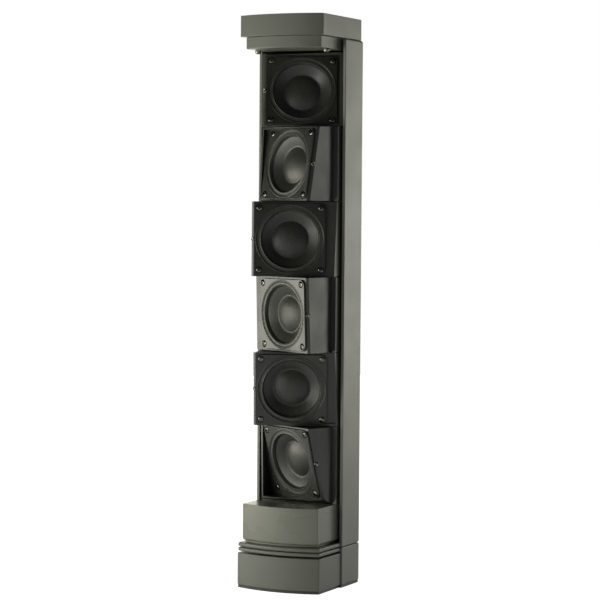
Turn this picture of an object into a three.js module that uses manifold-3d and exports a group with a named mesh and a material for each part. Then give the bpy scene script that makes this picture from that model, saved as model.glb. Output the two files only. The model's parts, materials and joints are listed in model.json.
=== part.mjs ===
// Upper section of a column loudspeaker: six small drivers, each in its own angled cup, stand one
// above the other in a U-shaped rear channel. The drivers face left and right in turn and fan out
// along an arc. A plug under the array drops into a socket in the top of the section below.
// Millimetres, +Z up, front towards -Y, origin on the resting face, in the middle of the plan.

import * as THREE from 'three';
import { ConvexGeometry } from 'three/addons/geometries/ConvexGeometry.js';
import { mergeVertices } from 'three/addons/utils/BufferGeometryUtils.js';
import Module from 'manifold-3d';

const wasm = await Module();
wasm.setup();

// ---------------------------------------------------------------- driving dimensions
const GAP = 0.3; // air left between pieces that rest on each other

// plan: the front is a shallow bow between two corners, the rear is a rounded channel
const COVER_HALF = 44.7; // half width of the cap and the front covers
const CHANNEL_HALF = 47.4; // half width of the rear channel
const CORNER_Y = -38.75; // front corners
const BOW = 9; // how far the front bulges ahead of its corners
const REAR_Y = 47.75; // back face of the channel
const CAP_REAR_Y = 47.5;
const CAP_RADIUS = 1.5;
const SEAM_Y = 6; // front edges of the channel's walls
const REAR_RADIUS = 4;
const WALL = 2.8;
const CHANNEL_INNER = CHANNEL_HALF - WALL;

// heights
const BASE_PLATE_TOP = 2.7;
const FRONT_COVER_TOP = 34.4;
const COLLAR_BOTTOM = 35.9;
const JOINT_Z = 40; // the array lifts off here
const COUPLER_TOP = 44.5;
const BLOCK_TOP = 82.2;
const CUPS_TOP = 523.5;
const SEAT_BOTTOM = 525.5;
const CAP_BOTTOM = 537.1;
const CAP_TOP = 557.7;

// how far pieces stand back from the covers
const BEAD_INSET = 0.9; // ridges at the joint
const SEAT_INSET = 4.2; // lip under the cap
const BLOCK_INSET = 3.6; // block at the foot of the array

// the fan of drivers: faces tilt in equal steps about a far centre behind the column
const DRIVERS = 6;
const TILT_STEP = THREE.MathUtils.degToRad(5.716);
const LEVEL_DRIVER = 3.617; // counted from the top, where the tilt passes through level
const YAW = THREE.MathUtils.degToRad(25.1);
const ARC_RADIUS = 729.6;
const ARC_Y = -18.55;
const ARC_Z = 296.4;
const FACE_OFFSET = 8.7; // from the arc to the middle of a driver's face

// driver, along its own axis: 0 is the face, negative goes into the cup
const FRAME_HALF = 34.5;
const FRAME_CORNER = 6;
const FRAME_THICK = 3.6;
const LEDGE_DEPTH = -2.6; // the surround's foot rests just above it
const SCREW_HALF = 30; // the four screw holes are 60 mm apart
const SCREW_HOLE = 1.6;
const FRAME_OPENING = 32.9;
const BASKET_FRONT = 31;
const BASKET_BACK = 22;
const BASKET_DEPTH = -22;
const MAGNET_RADIUS = 21;
const MAGNET_BACK = -37;
const COIL_INNER = 11.7;
const COIL_OUTER = 12.7;
const COIL_AIR = 0.6; // running clearance on each side of the voice coil
const COIL_END = -30;
const CONE_RIM = 27.8;
const DOME_RADIUS = 18.7;
const ROUND = 24; // facets of the round parts

// cup that holds a driver
const CUP_HALF = 42.8; // half width of the vertical sides
const CUP_FACE = -2.2; // the cup's face, a little behind the face of the driver's frame
const CUP_RIM_HALF = 35.4; // forward edge of the face
const CUP_CHAMFER = 2;
const CUP_FACE_HALF = 36.4; // half height of the face
const CUP_WALL = 2.4;
const CUP_REAR_Y = 30;
const FLANGE_STRIP = 5; // width of the upright flange beside the side panel
const FLANGE_Y = -3.1;
const FLANGE_FOLLOW = 0.25; // share of the arc's depth that the flange follows
const FAR_WALL_BACK = 5.5; // how far the wall on the other side stands behind the flange

// plug and socket
const PLUG_HALF_X = 26;
const PLUG_HALF_Y = 12;
const PLUG_Y = 21.5;
const PLUG_TIP = 7;
const SOCKET_CLEAR = 0.6;

// ---------------------------------------------------------------- materials
const shade = (color, roughness, metalness) =>
  new THREE.MeshStandardMaterial({ color, roughness, metalness });
const paint = shade(0x62635a, 0.45, 0.35);
const cupPlastic = shade(0x2b2c29, 0.55, 0);
const framePlastic = shade(0x242523, 0.45, 0);
const steel = shade(0x8c8c88, 0.35, 0.9);
const ferrite = shade(0x35353a, 0.6, 0.3);
const pulp = shade(0x1c1d1c, 0.8, 0);
const rubber = shade(0x141414, 0.7, 0);
const brass = shade(0xb79a52, 0.35, 0.9);
const wire = shade(0x1a1a1c, 0.6, 0);

// ---------------------------------------------------------------- solids
function solid(geometry) {
  const bare = geometry.clone();
  bare.deleteAttribute('normal');
  bare.deleteAttribute('uv');
  const merged = mergeVertices(bare, 1e-4);
  return new wasm.Manifold(new wasm.Mesh({
    numProp: 3,
    vertProperties: new Float32Array(merged.attributes.position.array),
    triVerts: new Uint32Array(merged.index.array),
  }));
}

function surface(body) {
  const { vertProperties, triVerts } = body.getMesh();
  const geometry = new THREE.BufferGeometry();
  geometry.setAttribute('position', new THREE.BufferAttribute(vertProperties, 3));
  geometry.setIndex(new THREE.BufferAttribute(triVerts, 1));
  geometry.computeVertexNormals();
  return geometry;
}

function add(parent, name, shape, material) {
  const geometry = shape.isBufferGeometry ? shape : surface(shape);
  const mesh = new THREE.Mesh(geometry, material);
  mesh.name = name;
  parent.add(mesh);
}

function prism(points, low, high, matrix) {
  const geometry = new THREE.ExtrudeGeometry(new THREE.Shape(points), {
    depth: high - low,
    bevelEnabled: false,
  });
  geometry.translate(0, 0, low);
  if (matrix) geometry.applyMatrix4(matrix);
  return geometry;
}

function block([x0, y0, z0], [x1, y1, z1]) {
  const geometry = new THREE.BoxGeometry(x1 - x0, y1 - y0, z1 - z0);
  return geometry.translate((x0 + x1) / 2, (y0 + y1) / 2, (z0 + z1) / 2);
}

function lathe(profile, segments = ROUND) {
  const geometry = new THREE.LatheGeometry(profile, segments);
  return geometry.rotateX(Math.PI / 2);
}

function cylinder(radius, low, high, x, y, segments = 12) {
  const geometry = new THREE.CylinderGeometry(radius, radius, high - low, segments);
  return geometry.rotateX(Math.PI / 2).translate(x, y, (low + high) / 2);
}

// ---------------------------------------------------------------- outlines
function arc(x, y, radius, from, to, steps) {
  const points = [];
  for (let i = 0; i <= steps; i += 1) {
    const angle = from + ((to - from) * i) / steps;
    points.push(new THREE.Vector2(x + radius * Math.cos(angle), y + radius * Math.sin(angle)));
  }
  return points;
}

function bowedFront(half, cornerY, bow) {
  const radius = (half * half + bow * bow) / (2 * bow);
  const reach = Math.asin(half / radius);
  return arc(0, cornerY - bow + radius, radius, -Math.PI / 2 - reach, -Math.PI / 2 + reach, 12);
}

function roundRear(half, rearY, radius) {
  return [
    ...arc(half - radius, rearY - radius, radius, 0, Math.PI / 2, 5),
    ...arc(radius - half, rearY - radius, radius, Math.PI / 2, Math.PI, 5),
  ];
}

// whole plan of the column, pulled in by inset: narrower in front of the seam than behind it
function columnPlan(inset) {
  const seam = [
    [COVER_HALF, SEAM_Y],
    [CHANNEL_HALF, SEAM_Y],
  ].map(([x, y]) => new THREE.Vector2(x - inset, y));
  return [
    ...bowedFront(COVER_HALF - inset, CORNER_Y + inset, BOW),
    ...seam,
    ...roundRear(CHANNEL_HALF - inset, REAR_Y - inset, REAR_RADIUS - inset),
    ...seam.reverse().map((point) => new THREE.Vector2(-point.x, point.y)),
  ];
}

function roundedSquare(half, radius) {
  const c = half - radius;
  const quarter = Math.PI / 2;
  return [
    ...arc(c, c, radius, 0, quarter, 3),
    ...arc(-c, c, radius, quarter, 2 * quarter, 3),
    ...arc(-c, -c, radius, 2 * quarter, 3 * quarter, 3),
    ...arc(c, -c, radius, 3 * quarter, 4 * quarter, 3),
  ];
}

// U-shaped wall with its open side towards the front
function channelPlan() {
  const outer = roundRear(CHANNEL_HALF, REAR_Y, REAR_RADIUS);
  const inner = roundRear(CHANNEL_INNER, REAR_Y - WALL, REAR_RADIUS - WALL).reverse();
  return [
    new THREE.Vector2(CHANNEL_HALF, SEAM_Y),
    ...outer,
    new THREE.Vector2(-CHANNEL_HALF, SEAM_Y),
    new THREE.Vector2(-CHANNEL_INNER, SEAM_Y),
    ...inner,
    new THREE.Vector2(CHANNEL_INNER, SEAM_Y),
  ];
}

// closed outline of a front cover: bowed face and straight sides back to a flat rear edge
function frontPlan(half, cornerY, bow, rearY) {
  return [
    ...bowedFront(half, cornerY, bow),
    new THREE.Vector2(half, rearY),
    new THREE.Vector2(-half, rearY),
  ];
}

// ---------------------------------------------------------------- where each driver sits
function station(number) {
  const side = number % 2 === 1 ? 1 : -1; // odd drivers face right, even ones left
  const yaw = side * YAW;
  const tilt = TILT_STEP * (LEVEL_DRIVER - number);
  const normal = new THREE.Vector3(
    Math.sin(yaw) * Math.cos(tilt), -Math.cos(yaw) * Math.cos(tilt), Math.sin(tilt),
  );
  const right = new THREE.Vector3(Math.cos(yaw), Math.sin(yaw), 0);
  const up = normal.clone().cross(right);
  const centre = new THREE.Vector3(
    0, ARC_Y + ARC_RADIUS * (1 - Math.cos(tilt)), ARC_Z + ARC_RADIUS * Math.sin(tilt),
  ).addScaledVector(normal, FACE_OFFSET);
  const matrix = new THREE.Matrix4().makeBasis(right, up, normal).setPosition(centre);
  return { number, side, tilt, normal, right, up, centre, matrix };
}

const stations = Array.from({ length: DRIVERS }, (_, i) => station(i + 1));
const faceTop = (s) => s.centre.z + CUP_FACE_HALF * Math.cos(s.tilt);
const faceBottom = (s) => s.centre.z - CUP_FACE_HALF * Math.cos(s.tilt);
stations.forEach((s, i) => {
  const above = stations[i - 1];
  const below = stations[i + 1];
  s.top = above ? (faceBottom(above) + faceTop(s)) / 2 - GAP : CUPS_TOP;
  s.bottom = below ? (faceTop(below) + faceBottom(s)) / 2 + GAP : BLOCK_TOP + GAP;
});

// ---------------------------------------------------------------- a driver and its cup
function cup(s) {
  const flangeY = FLANGE_Y + FLANGE_FOLLOW * (s.centre.y - stations[3].centre.y);
  const local = (x, y, z) => new THREE.Vector3(x * s.side, y, z).applyMatrix4(s.matrix);
  const faceCorners = [
    [-CUP_RIM_HALF - CUP_CHAMFER, CUP_FACE - CUP_CHAMFER],
    [-CUP_RIM_HALF, CUP_FACE],
    [1.3 * CUP_HALF, CUP_FACE],
  ].flatMap(([x, z]) => [local(x, -CUP_FACE_HALF, z), local(x, CUP_FACE_HALF, z)]);
  const farWallY = flangeY + FAR_WALL_BACK;
  const flangeCorners = [
    [FLANGE_STRIP - CUP_HALF, flangeY],
    [FLANGE_STRIP - CUP_HALF, farWallY],
    [CUP_HALF, farWallY],
    [CUP_HALF, farWallY + CUP_WALL],
  ].flatMap(([x, y]) => [
    new THREE.Vector3(x * s.side, y, s.bottom), new THREE.Vector3(x * s.side, y, s.top),
  ]);
  const between = solid(block(
    [-CUP_HALF, 2 * CORNER_Y, s.bottom], [CUP_HALF, CUP_REAR_Y, s.top],
  ));
  const wedge = solid(new ConvexGeometry([...faceCorners, ...flangeCorners])).intersect(between);
  const tubPlan = [
    [-CUP_HALF, flangeY], [CUP_HALF, farWallY], [CUP_HALF, CUP_REAR_Y], [-CUP_HALF, CUP_REAR_Y],
  ].map(([x, y]) => new THREE.Vector2(x * s.side, y));
  const tub = solid(prism(tubPlan, s.bottom, s.top));

  // everything ahead of the face, between the tub's walls
  const inside = CUP_HALF - CUP_WALL;
  const bay = solid(block(
    [-inside, CORNER_Y - BOW, s.bottom + CUP_WALL], [inside, CUP_REAR_Y + 1, s.top - CUP_WALL],
  ));
  const ahead = solid(prism(
    roundedSquare(2 * CUP_HALF, 1), CUP_FACE, CUP_HALF, s.matrix,
  ));
  const pocket = solid(prism(
    roundedSquare(FRAME_HALF + GAP, FRAME_CORNER + GAP), -FRAME_THICK - GAP, 1, s.matrix,
  ));

  // hollow behind the face, from a ledge under the driver's frame to the open back
  const ledge = FRAME_HALF - 1.2;
  const throat = [-ledge, ledge].flatMap((x) => [-ledge, ledge].map((y) => (
    new THREE.Vector3(x, y, -FRAME_THICK).applyMatrix4(s.matrix))));
  const mouth = [-inside, inside].flatMap((x) => [
    new THREE.Vector3(x, CUP_REAR_Y + 1, s.bottom + CUP_WALL),
    new THREE.Vector3(x, CUP_REAR_Y + 1, s.top - CUP_WALL),
  ]);
  const hollow = solid(new ConvexGeometry([...throat, ...mouth]));
  return wedge.add(tub).subtract(ahead.intersect(bay)).subtract(pocket).subtract(hollow);
}

function basket() {
  const plate = solid(prism(roundedSquare(FRAME_HALF, FRAME_CORNER), -FRAME_THICK, 0));
  const wall = 1.6;
  const mouth = 0.1 - FRAME_THICK;
  const cone = solid(lathe([
    new THREE.Vector2(BASKET_FRONT + 1, mouth),
    new THREE.Vector2(BASKET_FRONT - wall, mouth),
    new THREE.Vector2(BASKET_BACK - wall, BASKET_DEPTH + wall),
    new THREE.Vector2(COIL_OUTER + 2, BASKET_DEPTH + wall),
    new THREE.Vector2(COIL_OUTER + 2, BASKET_DEPTH),
    new THREE.Vector2(BASKET_BACK, BASKET_DEPTH),
    new THREE.Vector2(BASKET_FRONT + 1, mouth),
  ]));
  const opening = solid(cylinder(FRAME_OPENING, LEDGE_DEPTH, 1, 0, 0, ROUND));
  const throat = solid(cylinder(BASKET_FRONT - wall, -4, 1, 0, 0, ROUND));
  let body = plate.subtract(opening).subtract(throat).add(cone);
  const windowHalf = 9;
  const windowLow = BASKET_DEPTH + wall + 2.5;
  const windowHigh = -FRAME_THICK - 3;
  for (const reach of [[2 * FRAME_HALF, windowHalf], [windowHalf, 2 * FRAME_HALF]]) {
    body = body.subtract(solid(block(
      [-reach[0], -reach[1], windowLow], [reach[0], reach[1], windowHigh],
    )));
  }
  for (const x of [-SCREW_HALF, SCREW_HALF]) {
    for (const y of [-SCREW_HALF, SCREW_HALF]) {
      body = body.subtract(solid(cylinder(SCREW_HOLE, -FRAME_THICK - 1, 1, x, y, 8)));
    }
  }
  return body;
}

// magnet with its pole piece: the voice coil runs in the ring-shaped slot
function magnet() {
  const front = BASKET_DEPTH - GAP;
  const slotFloor = COIL_END - 3;
  return lathe([
    new THREE.Vector2(0, MAGNET_BACK),
    new THREE.Vector2(MAGNET_RADIUS - 3, MAGNET_BACK),
    new THREE.Vector2(MAGNET_RADIUS, MAGNET_BACK + 3),
    new THREE.Vector2(MAGNET_RADIUS, front),
    new THREE.Vector2(COIL_OUTER + COIL_AIR, front),
    new THREE.Vector2(COIL_OUTER + COIL_AIR, slotFloor),
    new THREE.Vector2(COIL_INNER - COIL_AIR, slotFloor),
    new THREE.Vector2(COIL_INNER - COIL_AIR, front),
    new THREE.Vector2(0, front),
  ]);
}

// diaphragm, dust dome and voice coil, glued into one moving piece
function cone() {
  const skin = 0.9;
  const rimZ = -3.2;
  const neckZ = -9.5;
  const domeTop = -4.6;
  const neck = new THREE.Vector2(DOME_RADIUS, neckZ);
  const dome = Array.from({ length: 4 }, (_, i) => {
    const angle = (i / 4) * (Math.PI / 2);
    return new THREE.Vector2(
      DOME_RADIUS * Math.sin(angle), neckZ + (domeTop - neckZ) * Math.cos(angle),
    );
  });
  return lathe([
    new THREE.Vector2(0, neckZ - skin),
    new THREE.Vector2(COIL_INNER, neckZ - skin),
    new THREE.Vector2(COIL_INNER, COIL_END),
    new THREE.Vector2(COIL_OUTER, COIL_END),
    new THREE.Vector2(COIL_OUTER, neckZ - 3 * skin),
    new THREE.Vector2(CONE_RIM, rimZ - skin),
    new THREE.Vector2(CONE_RIM, rimZ),
    neck,
    ...dome.reverse(),
  ]);
}

// half-roll rubber ring between the cone's rim and the frame
function surround() {
  const inner = CONE_RIM + GAP;
  const outer = FRAME_OPENING - GAP;
  const middle = (inner + outer) / 2;
  const radius = (outer - inner) / 2;
  const footZ = -1.6;
  const rise = 1.3;
  const skin = 0.6;
  const roll = [0, 1, 2, 3, 4].map((i) => {
    const angle = Math.PI * (1 - i / 4);
    return new THREE.Vector2(middle + radius * Math.cos(angle), footZ + rise * Math.sin(angle));
  });
  return lathe([
    new THREE.Vector2(inner, footZ - skin),
    new THREE.Vector2(outer, footZ - skin + 0.3),
    ...roll.reverse(),
    new THREE.Vector2(inner, footZ - skin),
  ]);
}

// small board with the two wire terminals, on the side of the magnet
function terminalBoard() {
  const near = MAGNET_RADIUS + GAP;
  return block([-7, near, MAGNET_BACK + 4], [7, near + 1.6, BASKET_DEPTH - GAP]);
}

// ---------------------------------------------------------------- shells
function topCap() {
  const wall = 3;
  const outer = solid(prism([
    ...bowedFront(COVER_HALF, CORNER_Y, BOW), ...roundRear(COVER_HALF, CAP_REAR_Y, CAP_RADIUS),
  ], CAP_BOTTOM, CAP_TOP));
  const inner = solid(prism(
    frontPlan(COVER_HALF - wall, CORNER_Y + wall, BOW, CAP_REAR_Y - wall),
    CAP_BOTTOM - 1, CAP_TOP - wall,
  ));
  return outer.subtract(inner);
}

// lip under the cap that locates the top of the grille and closes the channel
function upperGrilleSeat() {
  const half = COVER_HALF - SEAT_INSET;
  return solid(prism(
    frontPlan(half, CORNER_Y + SEAT_INSET, BOW, REAR_Y - REAR_RADIUS), SEAT_BOTTOM, CAP_BOTTOM - GAP,
  ));
}

// matching block at the foot, hollow from below for the plug's wires
function bottomBlock() {
  const half = COVER_HALF - BLOCK_INSET;
  const wall = 4;
  const low = COUPLER_TOP + GAP;
  const outer = solid(prism(
    frontPlan(half, CORNER_Y + BLOCK_INSET, BOW, CUP_REAR_Y), low, BLOCK_TOP,
  ));
  const inner = solid(prism(
    frontPlan(half - wall, CORNER_Y + BLOCK_INSET + wall, BOW, CUP_REAR_Y - wall),
    low - 1, BLOCK_TOP - wall,
  ));
  return outer.subtract(inner);
}

function plugCavity(low, high) {
  const x = PLUG_HALF_X + SOCKET_CLEAR;
  const y = PLUG_HALF_Y + SOCKET_CLEAR;
  return solid(block([-x, PLUG_Y - y, low], [x, PLUG_Y + y, high]));
}

// rounded ridge that runs across the front and sides, and on between the channel's walls
const beadPlan = () => frontPlan(
  COVER_HALF - BEAD_INSET, CORNER_Y + BEAD_INSET, BOW, REAR_Y - WALL - GAP,
);

function collar() {
  return solid(prism(beadPlan(), COLLAR_BOTTOM, JOINT_Z - GAP))
    .subtract(plugCavity(COLLAR_BOTTOM - 1, JOINT_Z));
}

function frontCover() {
  const wall = 3;
  const low = BASE_PLATE_TOP + GAP;
  const outer = solid(prism(
    frontPlan(COVER_HALF, CORNER_Y, BOW, SEAM_Y - GAP), low, FRONT_COVER_TOP,
  ));
  const inner = solid(prism(
    frontPlan(COVER_HALF - wall, CORNER_Y + wall, BOW, SEAM_Y + 1), low - 1, FRONT_COVER_TOP - wall,
  ));
  return outer.subtract(inner);
}

function socketHousing() {
  const wall = 3;
  const x = PLUG_HALF_X + SOCKET_CLEAR + wall;
  const y = PLUG_HALF_Y + SOCKET_CLEAR + wall;
  const low = BASE_PLATE_TOP + GAP;
  const high = COLLAR_BOTTOM - GAP;
  return solid(block([-x, PLUG_Y - y, low], [x, PLUG_Y + y, high]))
    .subtract(plugCavity(low + wall, high + 1));
}

// ---------------------------------------------------------------- assembly
const column = new THREE.Group();
const lower = new THREE.Group();
const array = new THREE.Group();
column.add(lower, array);

// section below the joint
add(lower, 'bottom_plate', prism(columnPlan(0.6), 0, BASE_PLATE_TOP), cupPlastic);
add(lower, 'lower_rear_shell', prism(channelPlan(), BASE_PLATE_TOP + GAP, JOINT_Z - GAP), paint);
add(lower, 'lower_front_cover', frontCover(), paint);
add(lower, 'socket_collar', collar(), paint);
add(lower, 'socket_housing', socketHousing(), cupPlastic);
const contactHalf = PLUG_HALF_X - 4;
const contactThick = 1.2;
const socketBack = PLUG_Y + PLUG_HALF_Y + SOCKET_CLEAR;
const plugTop = JOINT_Z + GAP;
add(lower, 'socket_contact_bar', block(
  [-contactHalf, socketBack - 0.3 - contactThick, 8], [contactHalf, socketBack - 0.3, 30],
), brass);

// plug and end plate of the array
add(array, 'coupler_plate', prism(beadPlan(), plugTop, COUPLER_TOP), paint);
const contactNotch = contactThick + 1.2;
add(array, 'plug_housing', solid(block(
  [-PLUG_HALF_X, PLUG_Y - PLUG_HALF_Y, PLUG_TIP], [PLUG_HALF_X, PLUG_Y + PLUG_HALF_Y, JOINT_Z],
)).subtract(solid(block(
  [-contactHalf - 1, PLUG_Y + PLUG_HALF_Y - contactNotch, PLUG_TIP - 1],
  [contactHalf + 1, PLUG_Y + PLUG_HALF_Y + 1, JOINT_Z - 3],
))), cupPlastic);
const plugContactY = PLUG_Y + PLUG_HALF_Y - contactNotch + GAP;
add(array, 'plug_contact_bar', block(
  [-contactHalf, plugContactY, PLUG_TIP + 2], [contactHalf, plugContactY + 0.8, JOINT_Z - 6],
), brass);

// spine of the array
const channelTop = CAP_BOTTOM - GAP;
add(array, 'rear_channel', prism(channelPlan(), JOINT_Z + GAP, channelTop), paint);
add(array, 'bottom_block', bottomBlock(), paint);
add(array, 'top_cap', topCap(), paint);
add(array, 'upper_grille_seat', upperGrilleSeat(), paint);
const railInner = 35;
const railOuter = CHANNEL_INNER - GAP;
for (const [name, side] of [['left', -1], ['right', 1]]) {
  const rail = block([railInner, CUP_REAR_Y + GAP, BLOCK_TOP], [railOuter, CUP_REAR_Y + 3, CUPS_TOP]);
  if (side < 0) rail.translate(-railInner - railOuter, 0, 0);
  add(array, `module_rail_${name}`, rail, steel);
}

// screws in the underside of the upper seat
const seatScrewX = 37.2;
const seatScrewY = -16.3;
for (const [name, side] of [['left', -1], ['right', 1]]) {
  add(array, `seat_screw_${name}`, cylinder(
    3, SEAT_BOTTOM - 4.2, SEAT_BOTTOM - GAP, side * seatScrewX, seatScrewY,
  ), steel);
}

// six drivers in their cups
for (const s of stations) {
  add(array, `driver_cup_${s.number}`, cup(s), cupPlastic);
  const driver = new THREE.Group();
  s.matrix.decompose(driver.position, driver.quaternion, driver.scale);
  array.add(driver);
  add(driver, `basket_${s.number}`, basket(), framePlastic);
  add(driver, `magnet_${s.number}`, magnet(), ferrite);
  add(driver, `cone_${s.number}`, cone(), pulp);
  add(driver, `surround_${s.number}`, surround(), rubber);
  add(driver, `terminal_board_${s.number}`, terminalBoard(), brass);
}

// wires that run up the channel behind the cups
const loomX = 30;
const loomY = REAR_Y - WALL - 3.2;
const loomRoute = new THREE.LineCurve3(
  new THREE.Vector3(loomX, loomY, BLOCK_TOP + 10), new THREE.Vector3(loomX, loomY, CUPS_TOP - 20),
);
const loomRadius = 2.4;
add(array, 'wiring_loom', new THREE.ExtrudeGeometry(
  new THREE.Shape(arc(0, 0, loomRadius, 0, (2 * Math.PI * 7) / 8, 7)),
  { steps: 12, bevelEnabled: false, extrudePath: loomRoute },
), wire);

export default column;
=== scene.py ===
"""Looks for the upper section of a column loudspeaker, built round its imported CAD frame."""

import json
import math

import bmesh
import bpy
from mathutils import Matrix, Vector


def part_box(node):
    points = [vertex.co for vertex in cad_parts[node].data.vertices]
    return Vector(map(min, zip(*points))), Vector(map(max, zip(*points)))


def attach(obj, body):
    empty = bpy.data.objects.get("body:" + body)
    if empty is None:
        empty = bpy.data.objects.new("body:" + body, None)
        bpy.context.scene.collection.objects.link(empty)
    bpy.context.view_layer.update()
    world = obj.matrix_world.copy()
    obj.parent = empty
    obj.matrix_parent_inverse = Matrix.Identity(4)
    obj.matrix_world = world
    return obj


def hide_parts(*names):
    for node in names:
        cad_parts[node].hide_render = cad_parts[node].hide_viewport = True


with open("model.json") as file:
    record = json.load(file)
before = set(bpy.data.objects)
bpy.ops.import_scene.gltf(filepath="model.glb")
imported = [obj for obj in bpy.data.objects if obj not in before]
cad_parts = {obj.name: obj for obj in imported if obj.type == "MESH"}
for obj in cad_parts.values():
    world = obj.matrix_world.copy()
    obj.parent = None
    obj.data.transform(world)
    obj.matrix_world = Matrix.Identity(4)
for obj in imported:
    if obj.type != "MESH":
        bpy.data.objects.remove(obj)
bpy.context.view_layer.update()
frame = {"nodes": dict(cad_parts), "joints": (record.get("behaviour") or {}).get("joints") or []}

MM = 0.001
QUARTER = math.pi / 2
DRIVERS = 6
ROUND = 96  # sides of a turned piece


# ---------------------------------------------------------------- camera, floor, light

CAMERA_PLACE = Vector((0.96086, -1.90461, 0.37376))
CAMERA_AZIMUTH = math.radians(26.713)
CAMERA_PITCH = math.radians(2.475)
CAMERA_ROLL = math.radians(0.421)
CAMERA_LENS = 130.47
SENSOR_WIDTH = 36
SIGHT = 200


def make_camera():
    forward = Vector((
        -math.sin(CAMERA_AZIMUTH) * math.cos(CAMERA_PITCH),
        math.cos(CAMERA_AZIMUTH) * math.cos(CAMERA_PITCH),
        -math.sin(CAMERA_PITCH),
    ))
    level = Vector((math.cos(CAMERA_AZIMUTH), math.sin(CAMERA_AZIMUTH), 0))
    above = level.cross(forward)
    right = level * math.cos(CAMERA_ROLL) + above * math.sin(CAMERA_ROLL)
    up = right.cross(forward)
    data = bpy.data.cameras.new("camera")
    data.sensor_width = SENSOR_WIDTH
    data.lens = CAMERA_LENS
    data.clip_end = SIGHT
    camera = bpy.data.objects.new("camera", data)
    bpy.context.scene.collection.objects.link(camera)
    turn = Matrix((right, up, -forward)).transposed().to_4x4()
    camera.matrix_world = Matrix.Translation(CAMERA_PLACE) @ turn
    bpy.context.scene.camera = camera


LIGHT_COLOR = (1.0, 1.0, 0.88)
LIGHT_TARGET = Vector((0, 0, 0.3))
SOFT_BOXES = [  # name, azimuth, height, distance, (width, height of the box), power
    ("left_box", -72, 0.0, 1.1, (0.8, 0.9), 10),
    ("front_left_box", -42, 0.1, 1.0, (0.8, 0.7), 8),
    ("front_box", -8, 0.35, 2.0, (0.4, 0.8), 2.2),
    ("rear_right_box", 152, 0.1, 1.8, (1.8, 1.3), 17),
    ("rear_left_box", 215, 0.9, 2.4, (1.4, 2.0), 16),
]


def area_light(name, azimuth, height, distance, size, power):
    """A soft box that faces the column. Azimuth 0 is in front, and it grows towards +X."""
    angle = math.radians(azimuth)
    place = Vector((distance * math.sin(angle), -distance * math.cos(angle), height))
    data = bpy.data.lights.new(name, "AREA")
    data.shape = "RECTANGLE"
    data.size, data.size_y = size
    data.energy = power
    data.color = LIGHT_COLOR
    light = bpy.data.objects.new(name, data)
    light.location = place
    light.rotation_euler = (LIGHT_TARGET - place).to_track_quat("-Z", "Y").to_euler()
    light.visible_camera = False
    bpy.context.scene.collection.objects.link(light)


ROOM_LIGHT = 0.03
FLOOR_GLOW = 0.42
WHITE = (1, 1, 1, 1)
FLOOR_COLOR = (0.8, 0.8, 0.77, 1)
FLOOR_ROUGHNESS = 0.9
FLOOR_SPECULAR = 0.1
FLOOR_RADIUS = 40


def make_world():
    """White all round for the picture's background, and a dim grey room for the light itself."""
    world = bpy.data.worlds.new("studio")
    world.use_nodes = True
    nodes, links = world.node_tree.nodes, world.node_tree.links
    nodes.clear()
    room = nodes.new("ShaderNodeBackground")
    room.inputs["Color"].default_value = (*LIGHT_COLOR, 1)
    room.inputs["Strength"].default_value = ROOM_LIGHT
    backdrop = nodes.new("ShaderNodeBackground")
    backdrop.inputs["Color"].default_value = WHITE
    backdrop.inputs["Strength"].default_value = 1.0
    path = nodes.new("ShaderNodeLightPath")
    mix = nodes.new("ShaderNodeMixShader")
    out = nodes.new("ShaderNodeOutputWorld")
    links.new(path.outputs["Is Camera Ray"], mix.inputs["Fac"])
    links.new(room.outputs[0], mix.inputs[1])
    links.new(backdrop.outputs[0], mix.inputs[2])
    links.new(mix.outputs[0], out.inputs["Surface"])
    bpy.context.scene.world = world
    bpy.context.scene.view_settings.view_transform = "Standard"


def make_floor():
    """Pale floor that looks white from anywhere and sends a weaker glow up to the column."""
    data = bpy.data.meshes.new("floor")
    bm = bmesh.new()
    bmesh.ops.create_circle(bm, cap_ends=True, radius=FLOOR_RADIUS, segments=ROUND)
    bm.to_mesh(data)
    bm.free()
    floor = bpy.data.objects.new("floor", data)
    bpy.context.scene.collection.objects.link(floor)
    material = bpy.data.materials.new("floor_sweep")
    material.use_nodes = True
    nodes, links = material.node_tree.nodes, material.node_tree.links
    shader = nodes["Principled BSDF"]
    shader.inputs["Base Color"].default_value = FLOOR_COLOR
    shader.inputs["Roughness"].default_value = FLOOR_ROUGHNESS
    shader.inputs["Specular IOR Level"].default_value = FLOOR_SPECULAR
    shader.inputs["Emission Color"].default_value = WHITE
    path = nodes.new("ShaderNodeLightPath")
    glow = nodes.new("ShaderNodeMapRange")
    glow.inputs["To Min"].default_value = FLOOR_GLOW
    glow.inputs["To Max"].default_value = 1.0
    links.new(path.outputs["Is Camera Ray"], glow.inputs["Value"])
    links.new(glow.outputs["Result"], shader.inputs["Emission Strength"])
    data.materials.append(material)


make_camera()
make_world()
make_floor()
for soft_box in SOFT_BOXES:
    area_light(*soft_box)


# ---------------------------------------------------------------- materials

NOISE_LOW, NOISE_HIGH = 0.35, 0.65


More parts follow.
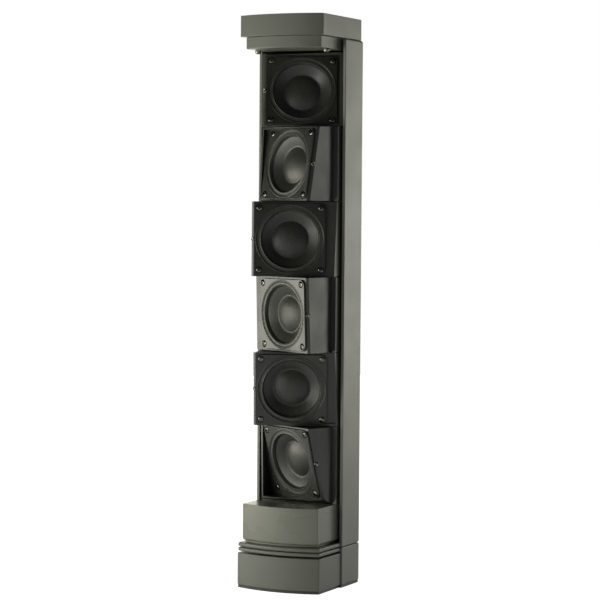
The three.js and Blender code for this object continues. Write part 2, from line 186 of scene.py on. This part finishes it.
class Shader:
    """A Principled material with the nodes that most finishes here share."""

    def __init__(self, name, color, roughness, metallic=0.0):
        self.material = bpy.data.materials.new(name)
        self.material.use_nodes = True
        self.nodes = self.material.node_tree.nodes
        self.links = self.material.node_tree.links
        self.surface = self.nodes["Principled BSDF"]
        self.surface.inputs["Metallic"].default_value = metallic
        self.color = color
        self.roughness = roughness
        self.where = self.nodes.new("ShaderNodeTexCoord").outputs["Object"]
        self.height = None

    def noise(self, scale, detail, stretch=None):
        source = self.where
        if stretch:
            mapping = self.nodes.new("ShaderNodeMapping")
            mapping.inputs["Scale"].default_value = stretch
            self.links.new(source, mapping.inputs["Vector"])
            source = mapping.outputs["Vector"]
        node = self.nodes.new("ShaderNodeTexNoise")
        node.inputs["Scale"].default_value = scale
        node.inputs["Detail"].default_value = detail
        self.links.new(source, node.inputs["Vector"])
        return node.outputs["Fac"]

    def cells(self, scale):
        node = self.nodes.new("ShaderNodeTexVoronoi")
        node.inputs["Scale"].default_value = scale
        self.links.new(self.where, node.inputs["Vector"])
        return node.outputs["Distance"]

    def ramp(self, value, low, high):
        """Spreads the range that a noise mostly keeps to over the given one."""
        node = self.nodes.new("ShaderNodeMapRange")
        node.inputs["From Min"].default_value = NOISE_LOW
        node.inputs["From Max"].default_value = NOISE_HIGH
        node.inputs["To Min"].default_value = low
        node.inputs["To Max"].default_value = high
        self.links.new(value, node.inputs["Value"])
        return node.outputs["Result"]

    def tint(self, value, spread):
        """Base colour that drifts by the given share either side of the finish's own."""
        node = self.nodes.new("ShaderNodeMix")
        node.data_type = "RGBA"
        dark = tuple(c * (1 - spread) for c in self.color)
        light = tuple(c * (1 + spread) for c in self.color)
        node.inputs["A"].default_value = (*dark, 1)
        node.inputs["B"].default_value = (*light, 1)
        self.links.new(self.ramp(value, 0, 1), node.inputs["Factor"])
        self.links.new(node.outputs["Result"], self.surface.inputs["Base Color"])

    def gloss(self, value, spread):
        low, high = self.roughness - spread, self.roughness + spread
        self.links.new(self.ramp(value, low, high), self.surface.inputs["Roughness"])

    def bump(self, value, strength, distance):
        node = self.nodes.new("ShaderNodeBump")
        node.inputs["Strength"].default_value = strength
        node.inputs["Distance"].default_value = distance
        self.links.new(value, node.inputs["Height"])
        if self.height:
            self.links.new(self.height, node.inputs["Normal"])
        self.height = node.outputs["Normal"]
        self.links.new(self.height, self.surface.inputs["Normal"])


def satin_paint(name, color, roughness):
    """Fine-texture paint: soft orange peel, a close grain and a little handling shine."""
    shader = Shader(name, color, roughness)
    shader.tint(shader.noise(9, 4), 0.05)
    shader.gloss(shader.noise(26, 4), 0.035)
    shader.bump(shader.noise(420, 2), 0.10, 0.0003)
    shader.bump(shader.noise(2600, 2), 0.22, 0.00008)
    return shader.material


def moulded_plastic(name, color, roughness, grain):
    """Spark-eroded mould texture over slow changes of shine."""
    shader = Shader(name, color, roughness)
    shader.tint(shader.noise(18, 3), 0.10)
    shader.gloss(shader.noise(40, 3), 0.05)
    shader.bump(shader.cells(grain), 0.25, 0.00006)
    shader.bump(shader.noise(grain * 0.4, 3), 0.15, 0.00012)
    return shader.material


def coated_pulp():
    """Pressed paper fibres under a thin black coat."""
    shader = Shader("coated_pulp", (0.030, 0.030, 0.026), 0.44)
    shader.tint(shader.noise(900, 5, (1, 1, 3)), 0.35)
    shader.gloss(shader.noise(60, 4), 0.06)
    shader.bump(shader.noise(700, 6, (1, 1, 3)), 0.35, 0.00015)
    return shader.material


def surround_rubber():
    """Matt rubber with a few shinier patches."""
    shader = Shader("surround_rubber", (0.040, 0.041, 0.034), 0.42)
    shader.tint(shader.noise(60, 3), 0.15)
    shader.gloss(shader.noise(140, 4), 0.06)
    shader.bump(shader.noise(1500, 2), 0.12, 0.00005)
    return shader.material


def plated_steel(name, color, roughness):
    """Plating with faint tool marks and patches of duller metal."""
    shader = Shader(name, color, roughness, metallic=1.0)
    shader.tint(shader.noise(250, 4), 0.25)
    shader.gloss(shader.noise(600, 4), 0.10)
    shader.bump(shader.noise(900, 3, (1, 8, 1)), 0.12, 0.00004)
    return shader.material


def ferrite():
    """Sintered grey ring with a coarse grain."""
    shader = Shader("ferrite", (0.045, 0.045, 0.05), 0.55, metallic=0.2)
    shader.tint(shader.noise(120, 5), 0.3)
    shader.gloss(shader.noise(80, 3), 0.08)
    shader.bump(shader.noise(1400, 4), 0.3, 0.0001)
    return shader.material


PAINT = satin_paint("satin_paint", (0.135, 0.140, 0.118), 0.40)
COVER_PAINT = satin_paint("cover_paint", (0.115, 0.120, 0.101), 0.38)
# Foot block paint: a lighter copy of the cover paint. Its lower roughness is a glossier finish; its
# lighter colour is painted light, standing in for the stronger light falling on the block's front.
BLOCK_PAINT_PAINTED_LIGHTER = satin_paint("block_paint_painted_lighter", (0.165, 0.170, 0.140), 0.27)
CUP = moulded_plastic("cup_plastic", (0.030, 0.031, 0.026), 0.34, 1800)
FRAME_PLASTIC = moulded_plastic("frame_plastic", (0.024, 0.025, 0.020), 0.28, 1400)
PULP = coated_pulp()
RUBBER = surround_rubber()
SCREW_METAL = plated_steel("screw_metal", (0.16, 0.16, 0.14), 0.22)
ZINC = plated_steel("zinc_steel", (0.42, 0.42, 0.40), 0.35)
BRASS = plated_steel("contact_brass", (0.66, 0.50, 0.22), 0.28)
FERRITE = ferrite()
SLEEVE = moulded_plastic("wire_sleeve", (0.02, 0.02, 0.022), 0.5, 900)


# ---------------------------------------------------------------- mesh helpers

def mesh_of(name, bm):
    bmesh.ops.recalc_face_normals(bm, faces=bm.faces)
    data = bpy.data.meshes.new(name)
    bm.to_mesh(data)
    bm.free()
    return data


def styled(data, material, smooth_angle=32):
    """Gives the mesh its one material and smooth faces, sharp past the angle in degrees."""
    data.materials.clear()
    data.materials.append(material)
    data.polygons.foreach_set("use_smooth", [True] * len(data.polygons))
    data.set_sharp_from_angle(angle=math.radians(smooth_angle))
    return data


def place(name, data, slot, matrix=None):
    piece = bpy.data.objects.new(name, data)
    bpy.context.scene.collection.objects.link(piece)
    if matrix is not None:
        piece.matrix_world = matrix
    even = piece.modifiers.new("even_shading", "WEIGHTED_NORMAL")
    even.keep_sharp = True
    return piece


def bevel_edges(bm, width, angle=30):
    """Rounds the edges that are sharper than the angle in degrees."""
    limit = math.radians(angle)
    edges = [e for e in bm.edges if e.is_manifold and e.calc_face_angle(0) > limit]
    bmesh.ops.bevel(
        bm, geom=edges, offset=width, offset_type="OFFSET", segments=2, profile=0.6,
        affect="EDGES", clamp_overlap=True,
    )


def prism(outline, low, high):
    """The outline's (x, y) points drawn out from one height to the other."""
    bm = bmesh.new()
    base = bm.faces.new([bm.verts.new((x, y, low)) for x, y in outline])
    lifted = bmesh.ops.extrude_face_region(bm, geom=[base])
    top = [v for v in lifted["geom"] if isinstance(v, bmesh.types.BMVert)]
    bmesh.ops.translate(bm, verts=top, vec=(0, 0, high - low))
    return bm


def lathe_into(bm, profile, segments=ROUND, closed=False):
    """Turns (radius, height) points round Z. A point on the axis becomes one vertex."""
    rings = []
    for radius, height in profile:
        if radius == 0:
            rings.append([bm.verts.new((0, 0, height))])
            continue
        rings.append([
            bm.verts.new((
                radius * math.cos(2 * math.pi * k / segments),
                radius * math.sin(2 * math.pi * k / segments),
                height,
            ))
            for k in range(segments)
        ])
    pairs = list(zip(rings, rings[1:]))
    if closed:
        pairs.append((rings[-1], rings[0]))
    for a, b in pairs:
        for k in range(segments):
            n = (k + 1) % segments
            corners = [a[k % len(a)], a[n % len(a)], b[n % len(b)], b[k % len(b)]]
            bm.faces.new(list(dict.fromkeys(corners)))


def arc(x, y, radius, start, end, steps):
    return [
        (x + radius * math.cos(start + (end - start) * k / steps),
         y + radius * math.sin(start + (end - start) * k / steps))
        for k in range(steps + 1)
    ]


def curve_through(points, steps):
    """Smooth run of (radius, height) points through the given ones (Catmull-Rom)."""
    out = []
    last = len(points) - 1
    for i in range(last):
        p = [Vector(points[max(0, min(last, i + k))]) for k in (-1, 0, 1, 2)]
        for k in range(steps):
            t = k / steps
            out.append(tuple(0.5 * (
                2 * p[1] + (p[2] - p[0]) * t
                + (2 * p[0] - 5 * p[1] + 4 * p[2] - p[3]) * t * t
                + (3 * p[1] - p[0] - 3 * p[2] + p[3]) * t ** 3
            )))
    return out + [tuple(points[-1])]


def cut(piece, tools):
    """The piece's mesh with the tools' shapes cut out of it. Piece and tools are removed."""
    for tool in tools:
        modifier = piece.modifiers.new("cut", "BOOLEAN")
        modifier.operation = "DIFFERENCE"
        modifier.solver = "EXACT"
        modifier.object = tool
    bpy.context.view_layer.update()
    evaluated = piece.evaluated_get(bpy.context.evaluated_depsgraph_get())
    result = bpy.data.meshes.new_from_object(evaluated)
    for used in [piece, *tools]:
        bpy.data.objects.remove(used)
    return result


def raw_object(bm, name="tool"):
    piece = bpy.data.objects.new(name, mesh_of(name, bm))
    bpy.context.scene.collection.objects.link(piece)
    return piece


def disc_tool(x, y, radius, low, high, segments=48):
    bm = bmesh.new()
    lathe_into(bm, [(0, low), (radius, low), (radius, high), (0, high)], segments)
    bmesh.ops.translate(bm, verts=bm.verts, vec=(x, y, 0))
    return raw_object(bm)


def box_tool(low, high):
    outline = [(low[0], low[1]), (high[0], low[1]), (high[0], high[1]), (low[0], high[1])]
    return raw_object(prism(outline, low[2], high[2]))


# ---------------------------------------------------------------- outlines from the frame

cap_low, cap_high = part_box("top_cap")
channel_low, channel_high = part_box("rear_channel")
COVER_HALF = cap_high.x
CHANNEL_HALF = channel_high.x
REAR_Y = channel_high.y
SEAM_Y = channel_low.y
FRONT_Y = cap_low.y
BOW = 9 * MM
FRONT_EASE = 0.5 * MM
EDGE_EASE = 0.5 * MM
REAR_RADIUS = 4 * MM
CAP_RADIUS = 1.5 * MM
WALL = 2.8 * MM
SEAM_GAP = 0.3 * MM
SEAM_FLARE = 1.3 * MM  # how much the sides widen between the front corners and the seam
BEAD_SPREAD = 0.4 * MM
BOW_STEPS = 48
EASE_STEPS = 5


def eased(a, b, c):
    """Points from a to c round the corner b."""
    a, b, c = Vector(a), Vector(b), Vector(c)
    steps = [k / EASE_STEPS for k in range(EASE_STEPS + 1)]
    return [tuple((1 - t) ** 2 * a + 2 * t * (1 - t) * b + t * t * c) for t in steps]


def bowed_front(half, front_y):
    """Shallow bow between two front corners, with the corners a little eased."""
    radius = (half * half + BOW * BOW) / (2 * BOW)
    reach = math.asin(half / radius)
    points = arc(0, front_y + radius, radius, -QUARTER - reach, -QUARTER + reach, BOW_STEPS)
    start, *inner, end = points
    left = eased((start[0], start[1] + FRONT_EASE), start, inner[0])
    right = eased(inner[-1], end, (end[0], end[1] + FRONT_EASE))
    return left[:-1] + inner + right[1:]


def round_rear(half, rear_y, radius, steps=12):
    """The two rear corners, from the right side to the left."""
    return (
        arc(half - radius, rear_y - radius, radius, 0, QUARTER, steps)
        + arc(radius - half, rear_y - radius, radius, QUARTER, 2 * QUARTER, steps)
    )


def channel_plan(inset):
    """U-shaped wall. The inset takes material off the outside only."""
    outer = round_rear(CHANNEL_HALF - inset, REAR_Y - inset, REAR_RADIUS - inset)
    inner = round_rear(CHANNEL_HALF - WALL, REAR_Y - WALL, REAR_RADIUS - WALL)
    edge = CHANNEL_HALF - inset
    inside = CHANNEL_HALF - WALL
    right = [(edge - EDGE_EASE, SEAM_Y), (edge, SEAM_Y + EDGE_EASE)]
    left = [(-edge, SEAM_Y + EDGE_EASE), (EDGE_EASE - edge, SEAM_Y), (-inside, SEAM_Y)]
    return right + outer + left + list(reversed(inner)) + [(inside, SEAM_Y)]


def cap_plan(inset):
    """Bowed front and slightly rounded rear corners."""
    front = bowed_front(COVER_HALF - inset, FRONT_Y + inset)
    return front + round_rear(COVER_HALF - inset, cap_high.y - inset, CAP_RADIUS - inset)


def front_plan(node):
    """Bowed front and square rear, as wide and as deep as the node."""
    low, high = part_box(node)

    def plan(inset):
        half, rear = high.x - inset, high.y - inset
        return bowed_front(half, low.y + inset) + [(half, rear), (-half, rear)]

    return plan


def flared_plan(node, spread=0.0):
    """The same, with sides that open slightly up to the seam and, behind it, step back in."""
    low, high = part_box(node)

    def plan(inset):
        half = high.x + spread - inset
        seam = min(high.y, SEAM_Y - SEAM_GAP) - inset
        side = [(half + SEAM_FLARE, seam)]
        if high.y > SEAM_Y:
            side += [(high.x - inset, seam), (high.x - inset, high.y - inset)]
        mirrored = [(-x, y) for x, y in reversed(side)]
        return bowed_front(half, low.y - spread + inset) + side + mirrored

    return plan


# ---------------------------------------------------------------- shells of the column

def loft(plan, levels):
    """Skins the plan's outlines, one for each (height, inset)."""
    bm = bmesh.new()
    rings = [[bm.verts.new((x, y, height)) for x, y in plan(inset)] for height, inset in levels]
    bm.faces.new(rings[0])
    bm.faces.new(rings[-1])
    for low, high in zip(rings, rings[1:]):
        for k in range(len(low)):
            n = (k + 1) % len(low)
            bm.faces.new((low[k], low[n], high[n], high[k]))
    return bm


def rim(height, radius, steps):
    """Quarter round from the end face at this height to the wall. A negative radius goes down."""
    size = abs(radius)
    return [
        (height + radius * (1 - math.cos(QUARTER * k / steps)),
         size * (1 - math.sin(QUARTER * k / steps)))
        for k in range(steps + 1)
    ]


RIM_STEPS = 4


def shell(name, node, plan, material, slot, body, bottom, top, steps=RIM_STEPS, foot=0.0):
    """Between the node's heights, with rims of the two radii and, on request, a set-back foot."""
    low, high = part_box(node)
    levels = rim(low.z + foot, bottom, steps) + list(reversed(rim(high.z, -top, steps)))
    if foot:
        levels.insert(0, (low.z, bottom))
    piece = place(name, styled(mesh_of(name, loft(plan, levels)), material), slot)
    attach(piece, body)
    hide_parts(node)


def make_shells():
    shell("cap_shell", "top_cap", cap_plan,
          COVER_PAINT, "painted_plastic", "array", bottom=0.4 * MM, top=0.5 * MM)
    shell("cap_lip", "upper_grille_seat", front_plan("upper_grille_seat"),
          COVER_PAINT, "painted_plastic", "array", bottom=0.8 * MM, top=0.3 * MM)
    # The foot block's lighter colour is painted light for the light falling on its front.
    shell("foot_block", "bottom_block", front_plan("bottom_block"),
          BLOCK_PAINT_PAINTED_LIGHTER, "painted_plastic", "array", bottom=2.2 * MM, top=0.5 * MM, foot=1.5 * MM)
    shell("channel_shell", "rear_channel", channel_plan,
          PAINT, "satin_paint", "array", bottom=1.2 * MM, top=2.2 * MM, steps=2)
    shell("array_bead", "coupler_plate", flared_plan("coupler_plate", BEAD_SPREAD),
          COVER_PAINT, "painted_plastic", "array", bottom=1.4 * MM, top=1.4 * MM)
    shell("rear_shell", "lower_rear_shell", channel_plan,
          PAINT, "satin_paint", "lower_section", bottom=0.4 * MM, top=0.9 * MM, steps=2)
    shell("front_cover", "lower_front_cover", flared_plan("lower_front_cover"),
          COVER_PAINT, "painted_plastic", "lower_section", bottom=0.4 * MM, top=0.7 * MM)
    make_collar()


COLLAR_RIM = 1.2 * MM
PLUG_ROOM = 0.6 * MM


def make_collar():
    """Lower bead, with the rectangular hole that the plug drops through."""
    low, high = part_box("socket_collar")
    levels = rim(low.z, COLLAR_RIM, RIM_STEPS)
    levels += reversed(rim(high.z, -COLLAR_RIM, RIM_STEPS))
    solid = raw_object(loft(flared_plan("socket_collar", BEAD_SPREAD), levels), "collar_solid")
    plug_low, plug_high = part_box("plug_housing")
    hole = box_tool(
        (plug_low.x - PLUG_ROOM, plug_low.y - PLUG_ROOM, low.z - PLUG_ROOM),
        (plug_high.x + PLUG_ROOM, plug_high.y + PLUG_ROOM, high.z + PLUG_ROOM),
    )
    collar = place("lower_bead", styled(cut(solid, [hole]), COVER_PAINT), "painted_plastic")
    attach(collar, "lower_section")
    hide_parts("socket_collar")


# ---------------------------------------------------------------- pieces refined from CAD solids

MERGE_DISTANCE = 0.002 * MM
FLAT_ANGLE = 0.6
ROUND_ANGLE = 24


def refined(node, name, material, slot, body, bevel):
    """The CAD solid with its flat faces merged and its edges rounded."""
    bm = bmesh.new()
    bm.from_mesh(frame["nodes"][node].data)
    bmesh.ops.remove_doubles(bm, verts=bm.verts, dist=MERGE_DISTANCE)
    flat = math.radians(FLAT_ANGLE)
    bmesh.ops.dissolve_limit(bm, angle_limit=flat, verts=bm.verts, edges=bm.edges)
    bevel_edges(bm, bevel, ROUND_ANGLE)
    piece = place(name, styled(mesh_of(name, bm), material, ROUND_ANGLE), slot)
    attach(piece, body)
    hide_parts(node)


# ---------------------------------------------------------------- a driver

def station(number):
    """Where a driver's face is: X right and Y up along the face, Z out of it."""
    joint = next(j for j in frame["joints"] if j["name"] == f"cone_{number}_travel")
    normal = Vector(joint["axis"]).normalized()
    right = Vector((-normal.y, normal.x, 0)).normalized()
    up = normal.cross(right)
    points = [v.co for v in frame["nodes"][f"basket_{number}"].data.vertices]
    face = max(p.dot(normal) for p in points)
    front = [p for p in points if face - p.dot(normal) < 0.1 * MM]
    middle = [
        (min(p.dot(axis) for p in front) + max(p.dot(axis) for p in front)) / 2
        for axis in (right, up)
    ]
    centre = right * middle[0] + up * middle[1] + normal * face
    return Matrix.Translation(centre) @ Matrix((right, up, normal)).transposed().to_4x4()


FRAME_HALF = 34.5 * MM
FRAME_THICK = 3.6 * MM
OPENING = 32.9 * MM
FRAME_RADIUS = 6 * MM
FRAME_EDGE = 0.4 * MM
SCREW_HALF = 30 * MM
COUNTERBORE = 3.4 * MM
COUNTERBORE_DEPTH = 1.4 * MM
SCREW_SEAT = -0.7 * MM
SCREW_TURN = 17  # degrees from one screw to the next, times their count
STUD_OUT = 36.2 * MM
STUD_BACK = 3.2 * MM

# Profiles of turned pieces: (radius, height) in mm, from the driver's axis and its face.
RING = [
    (32.5, -2.9), (32.7, -2.9), (32.75, -0.1), (32.9, 0.1), (33.2, 0.22), (33.6, 0.15),
    (33.9, 0.0), (34.0, -0.6), (33.6, -3.2), (32.5, -3.2),
]
LEDGE = [(28.9, -3.6), (32.7, -3.6), (32.7, -2.7), (28.9, -2.7)]
BASKET = [
    (30.6, -3.4), (22.0, -20.6), (22.0, -22.0), (14.8, -22.0), (14.8, -20.4), (20.6, -20.4),
    (29.2, -3.4),
]
DOME_RADIUS = 17.3
DOME_FOOT = -9.2
DOME_RISE = 4.6
DOME_POWER = 2.2
GLUE_BEAD = [(17.6, -9.35), (18.1, -9.4), (18.7, -9.2)]
CONE_FRONT = [(19.3, -8.85), (22.2, -6.75), (25.0, -4.95), (26.9, -3.9)]
CONE_RIM = [(27.15, -3.7), (27.4, -3.5), (27.4, -4.0)]
CONE_BACK = [(27.1, -4.5), (25.0, -5.8), (22.2, -7.6), (19.4, -9.9)]
COIL = [(12.7, -12.0), (12.7, -30.0), (11.7, -30.0), (11.7, -10.6), (0, -10.6)]
ROLL_FRONT = [
    (27.6, -2.9), (28.0, -1.6), (28.4, -0.45), (28.8, -0.1), (29.3, -0.4), (30.2, -0.55),
    (31.2, -0.55), (31.6, -0.95), (31.95, -0.5), (32.5, -0.35), (32.7, -0.5),
]
ROLL_BACK = [(32.7, -2.6), (31.2, -2.2), (29.5, -2.2), (28.6, -2.8), (27.6, -3.4)]
STUD = [
    (0, 0.5), (0.7, 0.5), (1.0, 0.8), (1.5, 0.9), (2.0, 0.6), (2.2, 0.1), (2.2, -1.0), (0, -1.0),
]


def rounded_square(half, radius, steps=8):
    """Square outline, twice the half wide, with rounded corners."""
    c = half - radius
    return [
        point
        for k, (x, y) in enumerate([(c, c), (-c, c), (-c, -c), (c, -c)])
        for point in arc(x, y, radius, k * QUARTER, (k + 1) * QUARTER, steps)
    ]


def turn_into(bm, profile, closed=False):
    lathe_into(bm, [(r * MM, z * MM) for r, z in profile], closed=closed)


def driver_frame_mesh():
    """Square moulded frame: raised ring round the opening, counterbored corners, open basket."""
    bm = prism(rounded_square(FRAME_HALF, FRAME_RADIUS), -FRAME_THICK, 0)
    bevel_edges(bm, FRAME_EDGE)
    plate = raw_object(bm, "frame_plate")
    tools = [disc_tool(0, 0, OPENING, -FRAME_THICK - MM, MM, ROUND)]
    for x in (-SCREW_HALF, SCREW_HALF):
        for y in (-SCREW_HALF, SCREW_HALF):
            tools.append(disc_tool(x, y, COUNTERBORE, -COUNTERBORE_DEPTH, MM, 32))
    data = cut(plate, tools)
    bm = bmesh.new()
    bm.from_mesh(data)
    for profile in (RING, LEDGE, BASKET):
        turn_into(bm, profile, closed=True)
    bmesh.ops.recalc_face_normals(bm, faces=bm.faces)
    bm.to_mesh(data)
    bm.free()
    return styled(data, FRAME_PLASTIC)


def turned_mesh(name, profile, material, closed=False):
    bm = bmesh.new()
    turn_into(bm, profile, closed)
    return styled(mesh_of(name, bm), material, smooth_angle=40)


def cone_mesh():
    """Curved paper cone, pressed dust dome with its glue bead, and the voice coil behind."""
    steps = [k / 16 for k in range(17)]
    dome = [(DOME_RADIUS * t, DOME_FOOT + DOME_RISE * (1 - t ** DOME_POWER)) for t in steps]
    front = curve_through(CONE_FRONT, 5)
    back = curve_through(CONE_BACK, 4)
    return turned_mesh("cone", dome + GLUE_BEAD + front + CONE_RIM + back + COIL, PULP)


def surround_mesh():
    """Half-roll surround: a foot 0.2 mm clear of the cone, a tall roll, a foot on the ledge."""
    return turned_mesh("surround", curve_through(ROLL_FRONT, 4) + ROLL_BACK, RUBBER, closed=True)


def screw_mesh(name, head=2.7, rise=1.3):
    """Pan-head screw with a cross recess. Its head, in mm, sits on height 0."""
    bm = bmesh.new()
    dome = [
        (head * MM * math.sin(QUARTER * k / 8) ** 0.8, rise * MM * math.cos(QUARTER * k / 8) ** 0.6)
        for k in range(8)
    ]
    lathe_into(bm, dome + [(head * MM, 0.15 * MM), (head * MM * 0.95, 0), (0, 0)], 40)
    wide, narrow, deep = 0.65 * head * MM, 0.17 * head * MM, 0.1 * MM
    tools = [
        box_tool((-wide, -narrow, deep), (wide, narrow, 2 * MM)),
        box_tool((-narrow, -wide, deep), (narrow, wide, 2 * MM)),
    ]
    return styled(cut(raw_object(bm, name), tools), SCREW_METAL)


def edge_stud_mesh():
    """Small round stud in the cup's forward edge: domed head round a shallow dimple."""
    return turned_mesh("edge_stud", STUD, SCREW_METAL)


def make_drivers():
    """Frame, cone, surround, four screws and cup of each driver, and the stud in the cup's edge."""
    frame_data = driver_frame_mesh()
    cone_data = cone_mesh()
    surround_data = surround_mesh()
    screw_data = screw_mesh("driver_screw")
    stud_data = edge_stud_mesh()
    for number in range(1, DRIVERS + 1):
        at = station(number)
        side = 1 if number % 2 else -1

        basket = place(f"driver_frame_{number}", frame_data, "frame_plastic", at)
        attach(basket, "array")
        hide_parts(f"basket_{number}")

        cone = place(f"diaphragm_{number}", cone_data, "cone_paper", at)
        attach(cone, f"cone_{number}")
        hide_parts(f"cone_{number}")

        roll = place(f"half_roll_{number}", surround_data, "surround_rubber", at)
        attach(roll, "array")
        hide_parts(f"surround_{number}")

        for k, (x, y) in enumerate([(-1, -1), (1, -1), (1, 1), (-1, 1)]):
            turn = Matrix.Rotation(math.radians(SCREW_TURN * (number + 3 * k) % 90), 4, "Z")
            seat = Matrix.Translation((x * SCREW_HALF, y * SCREW_HALF, SCREW_SEAT))
            screw = place(f"driver_screw_{number}_{k + 1}", screw_data, "zinc_steel", at @ seat @ turn)
            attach(screw, "array")

        edge = Matrix.Translation((-side * STUD_OUT, 0, -STUD_BACK))
        outward = Matrix.Rotation(-side * math.radians(45), 4, "Y")
        stud = place(f"edge_stud_{number}", stud_data, "frame_plastic", at @ edge @ outward)
        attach(stud, "array")

        refined(f"driver_cup_{number}", f"cup_shell_{number}", CUP, "cup_plastic", "array", 0.45 * MM)


def make_small_pieces():
    """Plug, socket and the two screws under the cap's lip."""
    refined("plug_housing", "plug_body", CUP, "cup_plastic", "array", 0.8 * MM)
    refined("socket_housing", "socket_body", CUP, "cup_plastic", "lower_section", 0.4 * MM)
    seat_data = screw_mesh("seat_screw", head=3.0, rise=3.6)
    for side in ("left", "right"):
        low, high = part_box(f"seat_screw_{side}")
        middle = (low + high) / 2
        spot = Matrix.Translation((middle.x, middle.y, high.z)) @ Matrix.Rotation(math.pi, 4, "X")
        screw = place(f"lip_screw_{side}", seat_data, "zinc_steel", spot)
        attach(screw, "array")
        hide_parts(f"seat_screw_{side}")


# ---------------------------------------------------------------- CAD nodes that stay

def dress(node, material):
    """Gives a CAD node's own mesh its finish."""
    data = frame["nodes"][node].data
    data.materials.clear()
    data.materials.append(material)


def dress_nodes():
    dress("bottom_plate", CUP)
    dress("wiring_loom", SLEEVE)
    for node in ("socket_contact_bar", "plug_contact_bar"):
        dress(node, BRASS)
    for side in ("left", "right"):
        dress(f"module_rail_{side}", ZINC)
    for number in range(1, DRIVERS + 1):
        dress(f"magnet_{number}", FERRITE)
        dress(f"terminal_board_{number}", BRASS)


make_shells()
make_drivers()
make_small_pieces()
dress_nodes()
